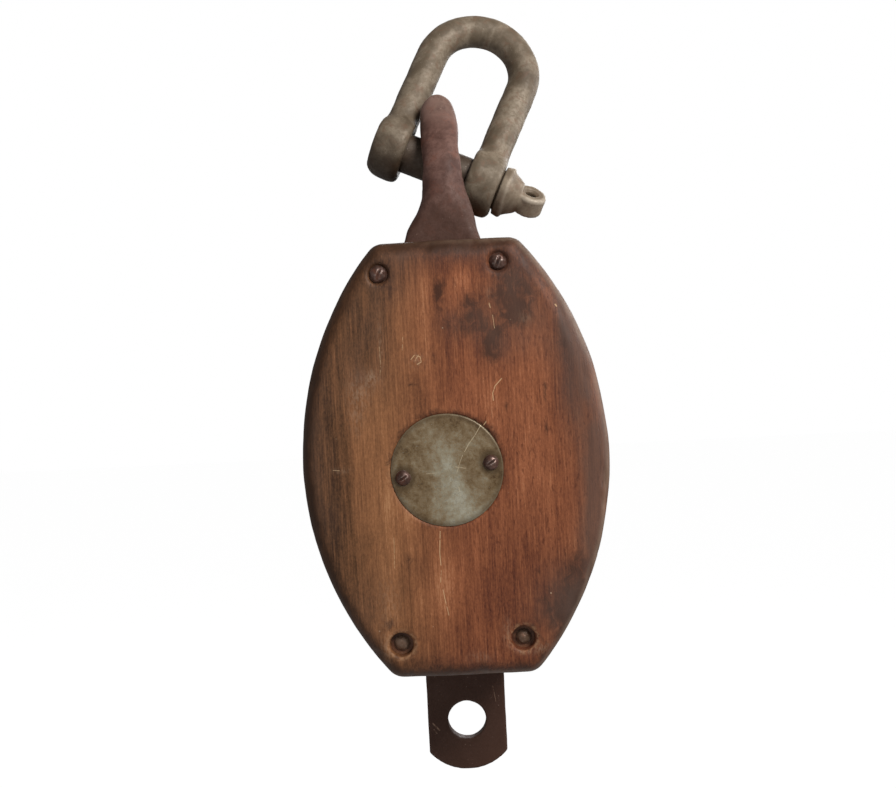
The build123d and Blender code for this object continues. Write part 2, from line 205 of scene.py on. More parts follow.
class Sculpt:
    """A dense mesh grown over one CAD node, whose points can be moved as an array."""

    def __init__(self, node, name, voxel):
        source = bpy.data.objects.new(name + "_source", frame["nodes"][node].data.copy())
        scene.collection.objects.link(source)
        remesh = source.modifiers.new("remesh", "REMESH")
        remesh.mode = "VOXEL"
        remesh.voxel_size = voxel
        graph = bpy.context.evaluated_depsgraph_get()
        mesh = bpy.data.meshes.new_from_object(source.evaluated_get(graph))
        bpy.data.objects.remove(source)
        mesh.name = name
        mesh.materials.clear()
        self.mesh = mesh
        self.name = name
        self.node = node
        self.voxel = voxel
        count = len(mesh.vertices)
        flat = np.empty(count * 3)
        mesh.vertices.foreach_get("co", flat)
        self.points = flat.reshape(-1, 3)
        ends = np.empty(len(mesh.edges) * 2, np.int64)
        mesh.edges.foreach_get("vertices", ends)
        self.ends = ends.reshape(-1, 2)
        self.degree = np.maximum(np.bincount(ends, minlength=count), 1)[:, None]
        self.store()

    def store(self):
        """Write the points back to the mesh and read the new normals."""
        self.mesh.vertices.foreach_set("co", self.points.ravel())
        self.mesh.update()
        flat = np.empty(len(self.points) * 3)
        self.mesh.vertices.foreach_get("normal", flat)
        self.normals = flat.reshape(-1, 3)

    def spread(self, values):
        """Each point's mean over its neighbours."""
        values = values.reshape(len(self.points), -1)
        total = np.zeros_like(values)
        for k in range(values.shape[1]):
            total[:, k] = np.bincount(self.ends[:, 0], values[self.ends[:, 1], k], len(values))
            total[:, k] += np.bincount(self.ends[:, 1], values[self.ends[:, 0], k], len(values))
        return total / self.degree

    def relax(self, rounds, amount=0.5):
        """Round the surface off; amount may be one number or one per point."""
        amount = np.broadcast_to(amount, len(self.points))[:, None]
        for _ in range(rounds):
            self.points += amount * (self.spread(self.points) - self.points)
        self.store()

    def round_off(self, rounds, where, keep=0.9):
        """Round corners off strongly where `where` is 1, then swell the piece back to its size."""
        before = self.points.copy()
        self.relax(rounds, 0.5 * where)
        lost = np.einsum("ij,ij->i", before - self.points, self.normals)
        for _ in range(rounds):
            lost = 0.4 * lost + 0.6 * self.spread(lost)[:, 0]
        self.push(keep * lost * where)

    def push(self, distance):
        """Move the points along their normals, by metres."""
        self.points += self.normals * distance[:, None]
        self.store()

    def ridges(self, rounds=6):
        """How convex the surface is round each point, about -1 in creases to 1 on edges."""
        bend = np.einsum("ij,ij->i", self.points - self.spread(self.points), self.normals) / self.voxel
        for _ in range(rounds):
            bend = 0.5 * bend + 0.5 * self.spread(bend)[:, 0]
        return np.clip(bend * 6, -1, 1)

    def note(self, name, values):
        """Store one number per point for the material to read."""
        layer = self.mesh.attributes.new(name, "FLOAT", "POINT")
        layer.data.foreach_set("value", np.asarray(values, np.float32))

    def finish(self, body, material):
        """Put the piece in the scene in place of its CAD node."""
        self.mesh.polygons.foreach_set("use_smooth", np.ones(len(self.mesh.polygons), bool))
        self.mesh.materials.append(material)
        piece = bpy.data.objects.new(self.name, self.mesh)
        scene.collection.objects.link(piece)
        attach(piece, body)
        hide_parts(self.node)
        return piece


# ---------------------------------------------------------------- shader building

VEIL = 0.014  # what the gloss adds to every surface in this light


def linear(*rgb):
    """Base colour for a surface that shows as these 0..255 display values in the studio light."""
    parts = [c / 255 for c in rgb]
    parts = [c / 12.92 if c <= 0.04045 else ((c + 0.055) / 1.055) ** 2.4 for c in parts]
    return tuple(max(c - VEIL, 0.1 * c) for c in parts) + (1.0,)


class Shader:
    """A material's nodes; lengths are in mm and places are the object's own."""

    def __init__(self, name):
        self.material = bpy.data.materials.new(name)
        self.material.use_nodes = True
        self.tree = self.material.node_tree
        self.bsdf = self.tree.nodes["Principled BSDF"]
        self.place = self.make("ShaderNodeTexCoord").outputs["Object"]

    def make(self, kind, **settings):
        node = self.tree.nodes.new(kind)
        for key, value in settings.items():
            setattr(node, key, value)
        return node

    def feed(self, socket, value):
        if isinstance(value, bpy.types.NodeSocket):
            self.tree.links.new(value, socket)
        else:
            socket.default_value = value

    def math(self, operation, a, b):
        node = self.make("ShaderNodeMath", operation=operation)
        self.feed(node.inputs[0], a)
        self.feed(node.inputs[1], b)
        return node.outputs[0]

    def times(self, a, b):
        return self.math("MULTIPLY", a, b)

    def plus(self, a, b):
        return self.math("ADD", a, b)

    def span(self, value, low, high, to_low=0.0, to_high=1.0):
        """Smoothly map value from low..high to to_low..to_high, clamped."""
        node = self.make("ShaderNodeMapRange", interpolation_type="SMOOTHSTEP", clamp=True)
        for socket, v in zip(node.inputs, (value, low, high, to_low, to_high)):
            self.feed(socket, v)
        return node.outputs[0]

    def vector(self, operation, a, b):
        node = self.make("ShaderNodeVectorMath", operation=operation)
        self.feed(node.inputs[0], a)
        self.feed(node.inputs[1], b)
        return node.outputs[0]

    def noise(self, wave, detail=3.0, roughness=0.55, distortion=0.0, shift=0.0):
        """Noise in 0..1 with features about `wave` mm across along X, Y and Z."""
        wave = wave if isinstance(wave, tuple) else (wave,) * 3
        scaled = self.vector("MULTIPLY", self.place, tuple(1 / (w * MM) for w in wave))
        moved = self.vector("ADD", scaled, (shift, shift * 0.37, shift * 0.71))
        node = self.make("ShaderNodeTexNoise")
        self.feed(node.inputs["Vector"], moved)
        node.inputs["Scale"].default_value = 1.0
        node.inputs["Detail"].default_value = detail
        node.inputs["Roughness"].default_value = roughness
        node.inputs["Distortion"].default_value = distortion
        return node.outputs["Fac"]

    def mix(self, share, a, b):
        """Colour a where share is 0, b where it is 1."""
        node = self.make("ShaderNodeMix", data_type="RGBA")
        self.feed(node.inputs[0], share)
        self.feed(node.inputs[6], a)
        self.feed(node.inputs[7], b)
        return node.outputs[2]

    def ramp(self, value, *stops):
        node = self.make("ShaderNodeValToRGB")
        self.feed(node.inputs[0], value)
        band = node.color_ramp
        while len(band.elements) < len(stops):
            band.elements.new(0.5)
        for element, (at, colour) in zip(band.elements, stops):
            element.position = at
            element.color = colour
        return node.outputs[0]

    def attribute(self, name):
        return self.make("ShaderNodeAttribute", attribute_name=name).outputs["Fac"]

    def bump(self, height, distance):
        """Height in 0..1 stands `distance` mm deep."""
        node = self.make("ShaderNodeBump")
        node.inputs["Strength"].default_value = 1.0
        node.inputs["Distance"].default_value = distance * MM
        self.feed(node.inputs["Height"], height)
        self.tree.links.new(node.outputs[0], self.bsdf.inputs["Normal"])

    def surface(self, colour, roughness, metallic=0.0, specular=0.5):
        self.feed(self.bsdf.inputs["Base Color"], colour)
        self.feed(self.bsdf.inputs["Roughness"], roughness)
        self.feed(self.bsdf.inputs["Metallic"], metallic)
        self.bsdf.inputs["Specular IOR Level"].default_value = specular
        return self.material


def scratch_group():
    """Node group: 1 on a straight scratch from A along AB in the XZ plane, 0 away from it."""
    group = bpy.data.node_groups.new("scratch", "ShaderNodeTree")
    for name, kind in (("P", "NodeSocketVector"), ("A", "NodeSocketVector"), ("AB", "NodeSocketVector"),
                       ("Width", "NodeSocketFloat")):
        group.interface.new_socket(name, in_out="INPUT", socket_type=kind)
    group.interface.new_socket("Mask", in_out="OUTPUT", socket_type="NodeSocketFloat")
    put = group.nodes.new
    start, end = put("NodeGroupInput"), put("NodeGroupOutput")

    def vec(operation, a, b):
        node = put("ShaderNodeVectorMath")
        node.operation = operation
        for socket, value in ((node.inputs[0], a), (node.inputs[1], b)):
            group.links.new(value, socket)
        return node.outputs["Value"] if operation == "DOT_PRODUCT" else node.outputs[0]

    def clamped_ratio(a, b):
        node = put("ShaderNodeMath")
        node.operation = "DIVIDE"
        node.use_clamp = True
        group.links.new(a, node.inputs[0])
        group.links.new(b, node.inputs[1])
        return node.outputs[0]

    from_a = vec("SUBTRACT", start.outputs["P"], start.outputs["A"])
    whole = start.outputs["AB"]
    along = clamped_ratio(vec("DOT_PRODUCT", from_a, whole), vec("DOT_PRODUCT", whole, whole))
    scale = put("ShaderNodeVectorMath")
    scale.operation = "SCALE"
    group.links.new(whole, scale.inputs[0])
    group.links.new(along, scale.inputs["Scale"])
    away = vec("SUBTRACT", from_a, scale.outputs[0])
    length = put("ShaderNodeVectorMath")
    length.operation = "LENGTH"
    group.links.new(away, length.inputs[0])
    share = clamped_ratio(length.outputs["Value"], start.outputs["Width"])
    flip = put("ShaderNodeMath")
    flip.operation = "SUBTRACT"
    flip.inputs[0].default_value = 1.0
    group.links.new(share, flip.inputs[1])
    group.links.new(flip.outputs[0], end.inputs[0])
    return group


SCRATCH = scratch_group()


def scratches(shader, lines):
    """Mask of several scratches; each line is a list of (x, z) in mm followed by a half width in mm."""
    flat = shader.vector("MULTIPLY", shader.place, (1, 0, 1))
    total = None
    for path, width in lines:
        for (x0, z0), (x1, z1) in zip(path, path[1:]):
            node = shader.make("ShaderNodeGroup", node_tree=SCRATCH)
            shader.feed(node.inputs["P"], flat)
            node.inputs["A"].default_value = (x0 * MM, 0, z0 * MM)
            node.inputs["AB"].default_value = ((x1 - x0) * MM, 0, (z1 - z0) * MM)
            node.inputs["Width"].default_value = width * MM
            total = node.outputs[0] if total is None else shader.math("MAXIMUM", total, node.outputs[0])
    return total


# ---------------------------------------------------------------- wood

FACE_SCRATCHES = [
    ([(24.7, 40.8), (21.6, 37.6), (20.3, 34.2), (20.5, 31.0)], 0.36),
    ([(17.6, 22.6), (15.6, 20.0), (11.3, 15.5), (8.2, 11.6)], 0.36),
    ([(-6.8, -28.0), (-7.5, -38.0), (-7.2, -43.5)], 0.36),
    ([(-7.2, -46.0), (-7.8, -51.5)], 0.26),
    ([(-6.8, -55.0), (-6.0, -60.0), (-4.7, -66.8)], 0.3),
    ([(-30.5, 58.0), (-30.2, 50.4), (-30.8, 45.0)], 0.17),
    ([(-16.2, 51.6), (-14.6, 53.4), (-12.0, 52.6), (-11.6, 50.2), (-13.4, 49.2)], 0.34),
    ([(-12.8, 53.4), (-14.8, 50.2)], 0.3),
    ([(-54.6, 2.4), (-51.6, 2.1)], 0.2),
    ([(-28.2, -30.0), (-28.6, -44.0)], 0.18),
    ([(20.6, 75.4), (21.2, 73.6)], 0.5),
    ([(50.8, 73.4), (51.4, 72.6)], 0.5),
    ([(22.0, 70.0), (22.6, 64.0)], 0.22),
    ([(-19.5, 62.0), (-20.0, 56.0)], 0.2),
]


def wood(name, marks, seed):
    """Old oiled hardwood with its grain along Z; marks are scratches or None."""
    s = Shader(name)
    ridge = s.attribute("ridge")
    rim = s.attribute("rim")
    stain = s.attribute("stain")
    worn = s.attribute("worn")
    fleck_share = s.attribute("fleck")
    # growth bands across the board, and the finer streaks inside them
    bands = s.noise((15, 15, 420), 2, 0.5, 0.4, seed)
    streaks = s.noise((3.2, 3.2, 80), 4, 0.62, 0.2, seed + 3)
    fibre = s.noise((0.8, 0.8, 24), 3, 0.7, 0, seed + 7)
    flecks = s.noise((0.95, 0.95, 4.4), 2, 0.6, 0.3, seed + 11)
    mottle = s.noise((12, 12, 24), 4, 0.6, 0.6, seed + 19)
    value = s.plus(s.attribute("tone"), s.times(s.plus(bands, -0.5), 0.42))
    value = s.plus(value, s.times(s.plus(streaks, -0.5), 0.62))
    value = s.plus(value, s.times(s.plus(mottle, -0.5), 0.42))
    value = s.plus(value, s.times(s.plus(fibre, -0.5), -0.9))
    grain = s.noise((0.7, 0.7, 1.5), 3, 0.7, 0, seed + 43)
    value = s.plus(value, s.times(s.plus(grain, -0.5), 0.72))
    tan = s.ramp(value, (0.0, linear(58, 42, 33)), (0.25, linear(92, 65, 47)), (0.52, linear(119, 82, 58)),
                 (0.78, linear(142, 98, 68)), (1.0, linear(164, 120, 86)))
    orange = s.ramp(value, (0.0, linear(54, 35, 27)), (0.25, linear(95, 58, 46)), (0.52, linear(122, 75, 54)),
                    (0.78, linear(144, 90, 64)), (1.0, linear(166, 112, 82)))
    colour = s.mix(s.attribute("hue"), tan, orange)
    long_flecks = s.noise((1.5, 1.5, 10), 3, 0.6, 0.3, seed + 13)
    dash = s.math("MAXIMUM", s.span(flecks, 0.56, 0.70), s.times(s.span(long_flecks, 0.58, 0.72), 0.8))
    dash = s.times(dash, fleck_share)
    colour = s.mix(s.times(dash, 0.52), colour, linear(68, 38, 27))
    pale = s.span(fibre, 0.40, 0.26)
    colour = s.mix(s.times(pale, 0.2), colour, linear(170, 122, 86))
    # old oil and tar: over the border, round the fastenings and in patches
    ragged = s.noise((4.6, 4.6, 6.5), 6, 0.72, 0.9, seed + 23)
    grime_and_shade = s.plus(stain, s.times(s.plus(ragged, -0.5), s.plus(1.0, s.times(stain, 1.6))))
    colour = s.mix(s.span(grime_and_shade, 0.2, 0.95, 0.0, 0.84), colour, linear(60, 43, 37))
    # greyed skin, which along the front board's right border is also a painted sheen on the rounded edge
    colour = s.mix(s.times(s.attribute("grey"), 0.78), colour, linear(87, 71, 64))
    # darker border: partly oil on the edges, partly painted shade where the rounded edge and the board's
    # sides turn from the light, strongest on the left
    edge = s.plus(rim, s.times(s.plus(s.noise((7, 7, 16), 4, 0.6, 0.4, seed + 29), -0.5), 0.9))
    colour = s.mix(s.span(edge, 0.30, 1.0, 0.0, 0.86), colour, linear(56, 41, 33))
    # painted shade: the wood is darkened in creases and hollows, such as the bored holes
    deep = s.span(ridge, -0.12, -0.6)
    colour = s.mix(s.times(deep, 0.42), colour, linear(46, 31, 22))
    scuff = s.times(s.attribute("scuff"), s.span(s.noise((1.1, 1.1, 2.6), 4, 0.7, 0.2, seed + 45), 0.4, 0.62))
    colour = s.mix(s.times(scuff, 0.5), colour, linear(158, 132, 110))
    # bare, greyed wood where the border has been rubbed, with a painted highlight along the rounded edge that
    # grows towards the right
    rubbed_edge_and_highlight = s.times(worn, s.span(s.noise((6, 6, 22), 4, 0.55, 0.3, seed + 31), 0.3, 0.6, 0.25, 1.0))
    colour = s.mix(rubbed_edge_and_highlight, colour, linear(138, 118, 102))
    lip = s.times(s.attribute("lip"), s.span(s.noise(1.6, 4, 0.6, 0.3, seed + 33), 0.4, 0.6))
    colour = s.mix(s.times(lip, 0.6), colour, linear(158, 122, 92))
    specks = s.make("ShaderNodeTexVoronoi", feature="F1")
    s.feed(specks.inputs["Vector"], s.place)
    specks.inputs["Scale"].default_value = 120
    speck_areas = s.span(s.noise(20, 2, 0.5, 0, seed + 37), 0.5, 0.6)
    sparse = s.times(s.span(specks.outputs["Distance"], 0.055, 0.02), speck_areas)
    colour = s.mix(s.times(sparse, 0.6), colour, linear(205, 180, 150))
    height = s.plus(s.times(fibre, -0.5), s.times(dash, -0.45))
    height = s.plus(height, s.times(s.noise((1.2, 1.2, 3), 4, 0.7, 0.2, seed + 41), 0.25))
    if marks:
        cut = scratches(s, marks)
        broken = s.times(s.span(cut, 0.1, 0.7), s.span(s.noise(2.2, 2, 0.5, 0, 5), 0.36, 0.5))
        colour = s.mix(s.times(broken, 0.62), colour, linear(206, 172, 132))
        height = s.plus(height, s.times(broken, -0.6))
    gloss = s.plus(s.span(streaks, 0.3, 0.7, 0.5, 0.6), s.times(stain, 0.06))
    s.bump(height, 0.16)
    return s.surface(colour, gloss, specular=0.22)


def shell_rim(points, box_low, box_high, arc):
    """Distance in metres from the barrel outline, inwards."""
    mid_x, mid_z = (box_low.x + box_high.x) / 2, (box_low.z + box_high.z) / 2
    half = (box_high.x - box_low.x) / 2
    x, z = points[:, 0] - mid_x, points[:, 2] - mid_z
    side = arc - np.hypot(np.abs(x) + arc - half, z)
    end = (box_high.z - box_low.z) / 2 - np.abs(z)
    return np.minimum(side, end)


def spots(points, places):
    """Sum of soft spots in the XZ plane: (x, z, reach across, reach along, strength), in mm."""
    total = np.zeros(len(points))
    for x, z, across, along, strength in places:
        gap = ((points[:, 0] / MM - x) / across) ** 2 + ((points[:, 2] / MM - z) / along) ** 2
        total += strength * np.exp(-gap)
    return total


# places on the boards, each (x, z, reach across, reach along, strength) in mm
# broad lighter (+) and darker (-) places of the front board; the dark band down the left border is partly
# painted shade
FRONT_TONES = [
    (-74, 0, 16, 95, -0.42), (-66, 0, 5, 18, 0.12), (-52, -10, 7, 60, -0.20), (-37.5, 66, 9, 24, -0.34),
    (-40, -45, 8, 22, -0.12), (-42, 12, 6, 34, 0.14), (-30, -15, 5, 40, 0.20), (-28, -37, 1.2, 22, 0.16),
    (-20, 62, 8, 20, 0.02), (-28, 88, 8, 13, -0.24), (-20, -20, 7, 16, 0.20), (-12.5, 75, 6, 16, 0.28),
    (-10, 50, 6, 12, 0.12), (-5, -50, 9, 16, 0.20), (-10, -62, 9, 12, 0.14), (9, 88, 5, 8, 0.26),
    (0, 62, 4, 20, -0.14), (12, 55, 12, 14, -0.14), (37, 10, 12, 40, 0.20), (42, 60, 7, 22, 0.14),
    (20, 36, 8, 14, 0.22), (18, 8, 4, 12, 0.22), (12, -30, 8, 12, 0.12), (2, 26, 12, 4, 0.16),
    (20, -60, 12, 24, -0.10), (40, -42, 10, 30, -0.10), (56, 40, 5, 20, -0.18), (50, 50, 5, 20, -0.12),
    (30, -70, 10, 10, -0.06), (52, -66, 9, 14, -0.14), (62, -6, 7, 34, 0.06), (4, 98, 46, 9, -0.20),
    (-8, -91, 34, 7, -0.18), (30, 0, 2.2, 18, -0.06), (47, 10, 2.5, 26, -0.06),
]
# tar and oil that has soaked in
FRONT_STAINS = [
    (-2.3, 81, 2.8, 8, 0.8), (10, 66.7, 14, 8.5, 0.64), (12, 77, 5, 6, 0.55), (20.8, 54, 5.5, 6.5, 0.85),
    (33, 70.2, 7.5, 8, 0.8), (27.4, 81, 8, 9, 0.6), (25, 95, 8, 9, 0.66), (41, 86, 10, 14, 0.6),
    (0, 85, 4, 4, 0.3), (-20, -88, 5, 4, 0.4), (54, 58, 5, 12, 0.66), (1, 101, 14, 5, 0.75),
    (-24, 83, 4.5, 10, 0.55), (-29, 91, 7.5, 7.5, 0.42), (-6, 51.5, 2.2, 6, 0.5),
    (-16.5, 40, 3.2, 1.2, 0.8), (44.2, 33.8, 1.2, 6, 0.75), (44.2, 17, 1.2, 5, 0.7),
    (26.4, 28.5, 1.2, 5, 0.6), (-58, 55.6, 4, 6, 0.5), (-21.5, -43.7, 2.8, 8, 0.55),
    (-27, -80, 10, 7, 0.45), (-33, -69.5, 4.5, 5, 0.55), (30, -79, 9, 9, 0.45), (48, -66, 12, 13, 0.86),
    (56, -50, 7, 12, 0.8), (0, -94, 36, 4.5, 0.36), (-33, -89.5, 8, 6, 0.4), (57, 5, 2.5, 22, 0.12),
    (37, -48, 2, 2.2, 0.5), (20, 20, 4, 6, 0.3), (-58, -20, 3, 20, 0.3), (24, 63, 4, 4, 0.55),
]
# dull, greyed skin; along the right border of the front board it is also a painted sheen where the rounded
# edge catches the light
FRONT_GREYS = [
    (-68, 10, 14, 80, 0.55), (-38, 68, 12, 24, 0.34), (36, 82, 14, 18, 0.55), (42, 64, 9, 13, 0.3),
    (28, 56, 9, 8, 0.2), (58, 58, 10, 26, 0.8), (68, 10, 7, 70, 0.85), (51, -68, 15, 18, 1.0),
    (64, -38, 7, 22, 0.85), (63, 0, 6, 60, 0.3), (0, 102, 46, 7, 0.6), (-38, 44, 6, 5, 0.4),
    (12, 68, 14, 9, 0.34), (-45, -70, 10, 20, 0.25), (56, 36, 6, 26, 0.3), (24, 60, 10, 10, 0.25),
    (-22, 90, 12, 12, 0.3), (-10, -92, 30, 6, 0.1),
]
# pale scuffs
FRONT_SCUFFS = [
    (-34.7, 44, 2.6, 3.6, 1.0), (-41, 37, 5, 7, 0.75), (-43, 25, 3, 7, 0.5), (-13.5, 51, 3.4, 3.2, 0.6),
    (-30, 58, 1.2, 14, 0.45), (-51, 2, 4, 1.2, 0.6), (-32, -60, 5, 12, 0.35), (37, 68, 3, 3, 0.4),
    (21, 80, 1.5, 3, 0.4), (-34, -82, 2.5, 7, 0.6), (36, -84, 6, 2.5, 0.7), (22, -76, 2, 6, 0.6),
    (9, -87, 6, 2.5, 0.4),
]
REAR_TONES = [
    (-66, 0, 14, 80, -0.4), (-34, 10, 12, 60, 0.24), (-4, 40, 7, 50, -0.15), (26, 0, 12, 60, 0.22),
    (64, 0, 12, 80, -0.4), (8, -50, 8, 22, -0.18),
]
REAR_STAINS = [
    (6, 78, 9, 18, 0.6), (-22, 60, 9, 14, 0.6), (30, 84, 12, 12, 0.7), (-30, 92, 9, 8, 0.6),
    (-44, -30, 8, 22, 0.5), (14, -52, 5, 16, 0.5), (34, -80, 12, 12, 0.7), (-26, -82, 12, 12, 0.7),
    (0, 102, 40, 5, 0.5), (0, -93, 36, 5, 0.6),
]
REAR_GREYS = [
    (66, 0, 12, 80, 0.5), (-66, 0, 12, 80, 0.45), (20, 80, 16, 16, 0.4), (-30, -70, 16, 16, 0.4),
]


SIDE_ARC = 153 * MM  # radius of the shell's curved sides


def middle(box):
    return (box[0].x + box[1].x) / 2, (box[0].z + box[1].z) / 2


def away_from(points, nodes):
    """Each point's distance in the XZ plane from the nearest of the nodes' middles."""
    gaps = []
    for node in nodes:
        x, z = middle(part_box(node))
        gaps.append(np.hypot(points[:, 0] - x, points[:, 2] - z))
    return np.min(gaps, axis=0)


def make_cheek(node, name, seed, tones, stains, greys, marks):
    low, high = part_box(node)
    outward = -1 if low.y < -high.y else 1
    s = Sculpt(node, name, 0.86 * MM)
    s.relax(3)
    p = s.points
    inside = shell_rim(p, low, high, SIDE_ARC)
    near_edge = smooth_step(9 * MM, 1 * MM, inside)
    face = smooth_step(0.3, 0.9, s.normals[:, 1] * outward)
    # hand-cut, long-used board: slow waves over the face, uneven border, knocks along the edges
    wave = 0.22 * MM * rough(p, (45 * MM, 45 * MM, 60 * MM), seed, 2) * face
    wave += 0.05 * MM * rough(p, (5 * MM, 5 * MM, 22 * MM), seed + 2, 3) * face
    wave -= near_edge * 0.42 * MM * (1 + rough(p, (24 * MM, 24 * MM, 24 * MM), seed + 5, 3)) * 0.6
    knock = smooth_step(0.62, 1.1, rough(p, (10 * MM, 12 * MM, 14 * MM), seed + 9, 2))
    wave -= knock * near_edge * 0.6 * MM
    s.push(wave)
    near = away_from(p, [f"{end}_rivet_{side}" for end in ("tail", "head") for side in ("left", "right")])
    depth = abs(low.y if outward < 0 else high.y) - p[:, 1] * outward
    s.relax(14, 0.5 * smooth_step(11 * MM, 8 * MM, near) * smooth_step(2.2 * MM, 0.8 * MM, depth))
    ridge = s.ridges()
    s.note("ridge", ridge)
    depth = abs(low.y if outward < 0 else high.y) - p[:, 1] * outward
    # darker border and board sides, weaker towards the right: partly oil, partly painted shade of the rounded
    # edge
    sides = smooth_step(2.5 * MM, 9 * MM, depth) * smooth_step(6.5 * MM, 8.5 * MM, near)
    border = np.maximum(smooth_step(15 * MM, -1 * MM, inside), sides)
    s.note("rim", border * (1 - 0.4 * smooth_step(0.35, 0.8, p[:, 0] / high.x)))
    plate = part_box("front_cover_plate" if outward < 0 else "rear_cover_plate")
    plate_x, plate_z = middle(plate)
    off_x, off_z = p[:, 0] - plate_x, p[:, 2] - plate_z
    # a darker ring on the board round the cover plate, stronger above it: partly tar, partly painted shade in
    # the gap round the plate
    halo = smooth_step(5 * MM, 0.5 * MM, np.hypot(off_x, off_z) - (plate[1].x - plate[0].x) / 2)
    halo *= 0.3 + 0.3 * smooth_step(-20 * MM, 20 * MM, off_z)
    s.note("stain", np.minimum(spots(p, stains) + halo, 1) * smooth_step(12 * MM, 6 * MM, depth))
    s.note("tone", 0.53 + spots(p, tones) - 0.1 * smooth_step(2.5 * MM, 9 * MM, depth))
    patchy = 1 + 0.5 * rough(p, (9 * MM, 9 * MM, 22 * MM), seed + 16, 3)
    s.note("grey", np.minimum(spots(p, greys) * patchy, 1))
    across = p[:, 0] * -outward / MM
    s.note("hue", smooth_step(-36, 10, across))
    s.note("scuff", np.minimum(spots(p, FRONT_SCUFFS if outward < 0 else []), 1) * face)
    flecked = np.clip(0.8 + 0.4 * rough(p, 18 * MM, seed + 14, 2), 0, 1)
    s.note("fleck", 0.25 + 0.75 * smooth_step(-30, 22, across) * flecked)
    # the two lower fastenings sit in deep bored holes with rubbed lips
    out = away_from(p, ("tail_rivet_left", "tail_rivet_right"))
    s.note("lip", smooth_step(8.2 * MM, 6.2 * MM, out) * smooth_step(1.6 * MM, 0.3 * MM, depth))
    # pale rubbed edge along the rounded border, stronger to the right: partly wear, partly painted highlight
    side = smooth_step(-0.35, 0.6, p[:, 0] / high.x) * 0.75 + 0.12
    edge = smooth_step(4 * MM, 0.5 * MM, inside)
    edge *= smooth_step(0.5 * MM, 3.5 * MM, depth) * smooth_step(10 * MM, 4.5 * MM, depth)
    s.note("worn", 0.55 * edge * side)
    return s.finish("block", wood(name + "_wood", marks, seed))


make_cheek("front_cheek", "front_cheek_board", 3, FRONT_TONES, FRONT_STAINS, FRONT_GREYS, FACE_SCRATCHES)
make_cheek("rear_cheek", "rear_cheek_board", 41, REAR_TONES, REAR_STAINS, REAR_GREYS, None)


def make_spacer(node, name, seed):
    s = Sculpt(node, name, 0.95 * MM)
    s.relax(2)
    s.push(0.12 * MM * rough(s.points, 14 * MM, seed, 3) - 0.1 * MM)
    s.note("ridge", s.ridges())
    s.note("rim", 0.35 + 0.25 * rough(s.points, 20 * MM, seed + 1, 2))
    s.note("stain", 0.35 + 0.2 * rough(s.points, 16 * MM, seed + 2, 2))
    s.note("tone", np.full(len(s.points), 0.35))
    s.note("hue", np.full(len(s.points), 0.4))
    s.note("fleck", np.full(len(s.points), 0.5))
    return s.finish("block", wood(name + "_wood", None, seed))


make_spacer("head_spacer", "head_spacer_wood", 61)
make_spacer("tail_spacer", "tail_spacer_wood", 67)


# ---------------------------------------------------------------- iron strap

def old_iron(name, base, dark, light, rust, seed, rust_amount=0.5, gloss=(0.42, 0.62), metallic=0.15,
             bump=0.16, specular=0.5, soot_and_shade=(58, 39, 32), marks=None):
    """Weathered iron or zinc; the colours are for its skin, its hollows, its worn edges and its rust."""
    s = Shader(name)
    ridge = s.attribute("ridge")
    cloud = s.noise(11, 5, 0.6, 0.5, seed)
    fine = s.noise(1.6, 5, 0.68, 0.3, seed + 5)
    pits = s.noise(2.6, 3, 0.55, 0.2, seed + 9)
    colour = s.mix(s.span(cloud, 0.34, 0.66), dark, base)
    colour = s.mix(s.span(fine, 0.42, 0.68, 0.0, 0.5), colour, dark)
    colour = s.mix(s.span(s.noise(5.5, 5, 0.65, 0.6, seed + 13), 0.5, 0.66, 0.0, rust_amount), colour, rust)
    colour = s.mix(s.span(ridge, 0.12, 0.7, 0.0, 0.45), colour, light)
    colour = s.mix(s.times(s.attribute("dust"), s.span(fine, 0.35, 0.65, 0.25, 0.6)), colour, light)
    # darker by the piece's grime attribute: dirt, and painted shade where a piece puts it there
    grime_and_shade = s.plus(s.attribute("grime_and_shade"), s.times(s.plus(s.noise(7, 5, 0.65, 0.6, seed + 15), -0.5), 0.5))
    colour = s.mix(s.span(grime_and_shade, 0.1, 0.9, 0.0, 0.92), colour, linear(*soot_and_shade))
    # painted shade: darker in creases
    colour = s.mix(s.span(ridge, -0.1, -0.6, 0.0, 0.7), colour, linear(30, 22, 18))
    hole = s.span(pits, 0.34, 0.26)
    colour = s.mix(s.times(hole, 0.55), colour, dark)
    chip_areas = s.span(s.noise(9, 2, 0.5, 0, seed + 21), 0.45, 0.6)
    chips = s.times(s.span(s.noise(1.0, 3, 0.6, 0, seed + 19), 0.66, 0.72), chip_areas)
    colour = s.mix(s.times(chips, 0.5), colour, light)
    if marks:
        broken = s.span(s.noise(1.4, 3, 0.6, 0, 5), 0.38, 0.5, 0.2, 1.0)
        cut = s.times(s.span(scratches(s, marks), 0.1, 0.7), broken)
        colour = s.mix(s.times(cut, 0.65), colour, linear(150, 122, 104))
    height = s.plus(s.times(fine, 0.45), s.times(hole, -0.5))
    height = s.plus(height, s.times(s.noise(6, 3, 0.5, 0, seed + 17), 0.5))
    s.bump(height, bump)
    sheen = s.span(fine, 0.3, 0.7, gloss[0], gloss[1])
    return s.surface(colour, sheen, metallic, specular)


STRAP_SCRATCHES = [
    ([(-17.6, -136.0), (-14.4, -139.6)], 0.6),
    ([(-17.2, -139.2), (-15.8, -141.2)], 0.45),
    ([(14.0, -118.0), (15.2, -126.0)], 0.2),
]


